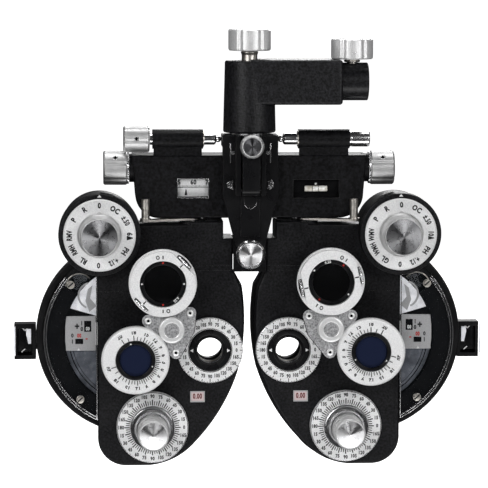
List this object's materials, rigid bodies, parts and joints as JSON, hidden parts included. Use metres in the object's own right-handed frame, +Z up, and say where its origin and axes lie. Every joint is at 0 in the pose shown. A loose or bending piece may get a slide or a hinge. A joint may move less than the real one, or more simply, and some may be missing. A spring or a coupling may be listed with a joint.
{
  "type": "phoropter",
  "caption": "Manual refractor head: two lens batteries with dials, turrets and knobs hung from a levelling crossbar on a swivelling arm.",
  "frame": {"origin": "mouth of the stand socket, on its axis, at the free end of the mounting arm", "axes": "+X out of the socket along the arm, +Y away from the examiner towards the patient, +Z up"},
  "size_m": [0.359, 0.1118, 0.3331],
  "materials": {
    "wrinkle_black": "fine wrinkle texture, matt",
    "satin_black": "smooth satin",
    "black_plastic": "moulded, satin",
    "nickel": "polished nickel",
    "polished_aluminium": "turned and polished",
    "scale_aluminium": "satin anodised with black marks",
    "blasted_aluminium": "bead blasted",
    "inner_black": "matt, blackened against glare",
    "clear_acrylic": "clear acrylic",
    "lens_glass": "coated lens",
    "vial_glass": "spirit-filled glass",
    "rubber_black": "soft, matt",
    "steel_rod": "ground steel"
  },
  "bodies": {
    "arm": {"mount_arm": "wrinkle_black"},
    "arm_clamp": {"arm_clamp_knob": "polished_aluminium"},
    "swivel_lock": {"swivel_lock_knob": "polished_aluminium"},
    "yoke": {"swivel_spindle": "steel_rod", "yoke_plate": "satin_black"},
    "rod_holder": {"rod_holder_block": "satin_black"},
    "thumbscrew": {"rod_thumbscrew": "polished_aluminium"},
    "crossbar": {"crossbar_housing": "wrinkle_black", "level_vial": "vial_glass"},
    "level_screw": {"leveling_screw": "nickel"},
    "level_knob": {"leveling_knob": "polished_aluminium"},
    "plunger": {"level_plunger": "nickel"},
    "pd_drive": {"pd_lead_screw": "steel_rod", "pd_knobs": "polished_aluminium"},
    "forehead_rest": {"forehead_pad": "rubber_black"},
    "forehead_wheel": {"forehead_knob": "nickel"},
    "left_carriage": {"left_carriage": "steel_rod"},
    "left_half": {"left_front_housing": "wrinkle_black", "left_back_cover": "black_plastic", "left_clear_cover": "clear_acrylic", "left_scale_plates": "scale_aluminium", "left_face_shield": "rubber_black", "left_corneal_aligner": "black_plastic", "left_housing_screws": "nickel"},
    "left_lever": {"left_convergence_lever": "nickel"},
    "left_weak_wheel": {"left_weak_sphere_wheel": "inner_black", "left_weak_lenses": "lens_glass"},
    "left_strong_disc": {"left_strong_lens_disc": "inner_black"},
    "left_strong_knob": {"left_strong_sphere_knob": "polished_aluminium"},
    "left_dial": {"left_aux_dial": "scale_aluminium"},
    "left_axis_knob": {"left_cylinder_axis_knob": "polished_aluminium"},
    "left_axis_pointer": {"left_axis_pointer_ring": "satin_black"},
    "left_power_knob": {"left_cylinder_power_knob": "polished_aluminium"},
    "left_turret": {"left_turret_plate": "blasted_aluminium", "left_prism_frame": "scale_aluminium"},
    "left_jcc": {"left_jcc_frame": "scale_aluminium"},
    "left_jcc_flip": {"left_jcc_lens": "inner_black"},
    "left_prism": {"left_prism_cell": "satin_black"},
    "right_carriage": {"right_carriage": "steel_rod"},
    "right_half": {"right_front_housing": "wrinkle_black", "right_back_cover": "black_plastic", "right_clear_cover": "clear_acrylic", "right_scale_plates": "scale_aluminium", "right_face_shield": "rubber_black", "right_corneal_aligner": "black_plastic", "right_housing_screws": "nickel"},
    "right_lever": {"right_convergence_lever": "nickel"},
    "right_weak_wheel": {"right_weak_sphere_wheel": "inner_black", "right_weak_lenses": "lens_glass"},
    "right_strong_disc": {"right_strong_lens_disc": "inner_black"},
    "right_strong_knob": {"right_strong_sphere_knob": "polished_aluminium"},
    "right_dial": {"right_aux_dial": "scale_aluminium"},
    "right_axis_knob": {"right_cylinder_axis_knob": "polished_aluminium"},
    "right_axis_pointer": {"right_axis_pointer_ring": "satin_black"},
    "right_power_knob": {"right_cylinder_power_knob": "polished_aluminium"},
    "right_turret": {"right_turret_plate": "blasted_aluminium", "right_prism_frame": "scale_aluminium"},
    "right_jcc": {"right_jcc_frame": "scale_aluminium"},
    "right_jcc_flip": {"right_jcc_lens": "inner_black"},
    "right_prism": {"right_prism_cell": "satin_black"}
  },
  "joints": [
    {"name": "arm_clamp_turn", "type": "hinge", "parent": "arm", "child": "arm_clamp", "pos_m": [-0.012, 0, 0.0169], "axis": [0, 0, 1], "range_deg": [0, 180]},
    {"name": "swivel_lock_turn", "type": "hinge", "parent": "arm", "child": "swivel_lock", "pos_m": [-0.0898, 0, 0.0233], "axis": [0, 0, 1], "range_deg": [0, 180]},
    {"name": "yoke_swivel", "type": "hinge", "parent": "arm", "child": "yoke", "pos_m": [-0.0898, 0, -0.0393], "axis": [0, 0, 1], "range_deg": [-90, 90]},
    {"name": "rod_holder_swing", "type": "hinge", "parent": "yoke", "child": "rod_holder", "pos_m": [-0.0898, -0.021, -0.0803], "axis": [1, 0, 0], "range_deg": [0, 90]},
    {"name": "thumbscrew_turn", "type": "hinge", "parent": "rod_holder", "child": "thumbscrew", "pos_m": [-0.0898, -0.035, -0.0469], "axis": [0, -1, 0], "range_deg": [0, 180]},
    {"name": "level_tilt", "type": "hinge", "parent": "yoke", "child": "crossbar", "pos_m": [-0.0898, -0.005, -0.0883], "axis": [0, -1, 0], "range_deg": [-2.5, 2.5]},
    {"name": "leveling_screw_slide", "type": "slide", "parent": "crossbar", "child": "level_screw", "axis": [1, 0, 0], "range_m": [-0.00199, 0.00199]},
    {"name": "leveling_knob_turn", "type": "hinge", "parent": "level_screw", "child": "level_knob", "pos_m": [-0.1698, 0, -0.0435], "axis": [1, 0, 0], "range_deg": [-760, 760]},
    {"name": "level_plunger_slide", "type": "slide", "parent": "crossbar", "child": "plunger", "axis": [1, 0, 0], "range_m": [-0.00199, 0.00199]},
    {"name": "pd_drive_turn", "type": "hinge", "parent": "crossbar", "child": "pd_drive", "pos_m": [-0.0898, 0.007, -0.0658], "axis": [1, 0, 0], "range_deg": [-148, 545]},
    {"name": "forehead_slide", "type": "slide", "parent": "crossbar", "child": "forehead_rest", "axis": [0, 1, 0], "range_m": [-0.0061, 0.0121]},
    {"name": "forehead_knob_turn", "type": "hinge", "parent": "crossbar", "child": "forehead_wheel", "pos_m": [-0.0898, -0.019, -0.1295], "axis": [0, 1, 0], "range_deg": [-1440, 2880]},
    {"name": "left_pd_slide", "type": "slide", "parent": "crossbar", "child": "left_carriage", "axis": [-1, 0, 0], "range_m": [-0.002, 0.0075]},
    {"name": "left_converge", "type": "hinge", "parent": "left_carriage", "child": "left_half", "pos_m": [-0.1344, 0.008, -0.1143], "axis": [0, 0, 1], "range_deg": [0, 4]},
    {"name": "left_lever_turn", "type": "hinge", "parent": "left_carriage", "child": "left_lever", "pos_m": [-0.1344, 0.008, -0.1047], "axis": [0, 0, 1], "range_deg": [0, 20.5]},
    {"name": "left_weak_wheel_turn", "type": "hinge", "parent": "left_half", "child": "left_weak_wheel", "pos_m": [-0.1758, 0.009, -0.1939], "axis": [0, -1, 0], "continuous": true},
    {"name": "left_strong_disc_turn", "type": "hinge", "parent": "left_half", "child": "left_strong_disc", "pos_m": [-0.1758, 0.021, -0.1939], "axis": [0, -1, 0], "continuous": true},
    {"name": "left_strong_knob_turn", "type": "hinge", "parent": "left_half", "child": "left_strong_knob", "pos_m": [-0.2036, -0.035, -0.1145], "axis": [0, -1, 0], "continuous": true},
    {"name": "left_aux_dial_turn", "type": "hinge", "parent": "left_half", "child": "left_dial", "pos_m": [-0.2036, -0.022, -0.1145], "axis": [0, -1, 0], "continuous": true},
    {"name": "left_axis_knob_turn", "type": "hinge", "parent": "left_half", "child": "left_axis_knob", "pos_m": [-0.1638, -0.014, -0.2633], "axis": [0, -1, 0], "continuous": true},
    {"name": "left_axis_pointer_turn", "type": "hinge", "parent": "left_half", "child": "left_axis_pointer", "pos_m": [-0.1198, -0.008, -0.2043], "axis": [0, -1, 0], "continuous": true},
    {"name": "left_power_knob_turn", "type": "hinge", "parent": "left_half", "child": "left_power_knob", "pos_m": [-0.1638, -0.035, -0.2633], "axis": [0, -1, 0], "continuous": true},
    {"name": "left_turret_swing", "type": "hinge", "parent": "left_half", "child": "left_turret", "pos_m": [-0.1498, -0.025, -0.185], "axis": [0, 1, 0], "range_deg": [-106.7, 133.3]},
    {"name": "left_jcc_axis_turn", "type": "hinge", "parent": "left_turret", "child": "left_jcc", "pos_m": [-0.1563, -0.0325, -0.14993], "axis": [0, -1, 0], "continuous": true},
    {"name": "left_jcc_flip_turn", "type": "hinge", "parent": "left_jcc", "child": "left_jcc_flip", "pos_m": [-0.1563, -0.0325, -0.14993], "axis": [0.7071, 0, 0.7071], "continuous": true},
    {"name": "left_prism_turn", "type": "hinge", "parent": "left_turret", "child": "left_prism", "pos_m": [-0.17692, -0.028, -0.20817], "axis": [0, -1, 0], "continuous": true},
    {"name": "right_pd_slide", "type": "slide", "parent": "crossbar", "child": "right_carriage", "axis": [1, 0, 0], "range_m": [-0.002, 0.0075]},
    {"name": "right_converge", "type": "hinge", "parent": "right_carriage", "child": "right_half", "pos_m": [-0.0452, 0.008, -0.1143], "axis": [0, 0, -1], "range_deg": [0, 4]},
    {"name": "right_lever_turn", "type": "hinge", "parent": "right_carriage", "child": "right_lever", "pos_m": [-0.0452, 0.008, -0.1047], "axis": [0, 0, -1], "range_deg": [0, 20.5]},
    {"name": "right_weak_wheel_turn", "type": "hinge", "parent": "right_half", "child": "right_weak_wheel", "pos_m": [-0.0038, 0.009, -0.1939], "axis": [0, -1, 0], "continuous": true},
    {"name": "right_strong_disc_turn", "type": "hinge", "parent": "right_half", "child": "right_strong_disc", "pos_m": [-0.0038, 0.021, -0.1939], "axis": [0, -1, 0], "continuous": true},
    {"name": "right_strong_knob_turn", "type": "hinge", "parent": "right_half", "child": "right_strong_knob", "pos_m": [0.024, -0.035, -0.1145], "axis": [0, -1, 0], "continuous": true},
    {"name": "right_aux_dial_turn", "type": "hinge", "parent": "right_half", "child": "right_dial", "pos_m": [0.024, -0.022, -0.1145], "axis": [0, -1, 0], "continuous": true},
    {"name": "right_axis_knob_turn", "type": "hinge", "parent": "right_half", "child": "right_axis_knob", "pos_m": [-0.0158, -0.014, -0.2633], "axis": [0, -1, 0], "continuous": true},
    {"name": "right_axis_pointer_turn", "type": "hinge", "parent": "right_half", "child": "right_axis_pointer", "pos_m": [-0.0598, -0.008, -0.2043], "axis": [0, -1, 0], "continuous": true},
    {"name": "right_power_knob_turn", "type": "hinge", "parent": "right_half", "child": "right_power_knob", "pos_m": [-0.0158, -0.035, -0.2633], "axis": [0, -1, 0], "continuous": true},
    {"name": "right_turret_swing", "type": "hinge", "parent": "right_half", "child": "right_turret", "pos_m": [-0.0298, -0.025, -0.185], "axis": [0, -1, 0], "range_deg": [-117.2, 122.8]},
    {"name": "right_jcc_axis_turn", "type": "hinge", "parent": "right_turret", "child": "right_jcc", "pos_m": [-0.0298, -0.0325, -0.14933], "axis": [0, -1, 0], "continuous": true},
    {"name": "right_jcc_flip_turn", "type": "hinge", "parent": "right_jcc", "child": "right_jcc_flip", "pos_m": [-0.0298, -0.0325, -0.14933], "axis": [0.9781, 0, 0.2079], "continuous": true},
    {"name": "right_prism_turn", "type": "hinge", "parent": "right_turret", "child": "right_prism", "pos_m": [0.00109, -0.028, -0.20284], "axis": [0, -1, 0], "continuous": true}
  ],
  "couplings": [
    {"joint": "leveling_screw_slide", "follows": "level_tilt", "m_per_rad": 0.0448},
    {"joint": "leveling_knob_turn", "follows": "level_tilt", "ratio": 281.49},
    {"joint": "level_plunger_slide", "follows": "level_tilt", "m_per_rad": 0.0448},
    {"joint": "right_pd_slide", "follows": "left_pd_slide", "ratio": 1},
    {"joint": "pd_drive_turn", "follows": "left_pd_slide", "rad_per_m": 1256.6},
    {"joint": "forehead_slide", "follows": "forehead_knob_turn", "m_per_rad": 0.00023873},
    {"joint": "left_lever_turn", "follows": "left_converge", "ratio": 5},
    {"joint": "left_strong_knob_turn", "follows": "left_strong_disc_turn", "ratio": -5.0813},
    {"joint": "left_axis_pointer_turn", "follows": "left_axis_knob_turn", "ratio": 1},
    {"joint": "right_lever_turn", "follows": "right_converge", "ratio": 5},
    {"joint": "right_strong_knob_turn", "follows": "right_strong_disc_turn", "ratio": -5.0813},
    {"joint": "right_axis_pointer_turn", "follows": "right_axis_knob_turn", "ratio": 1}
  ]
}
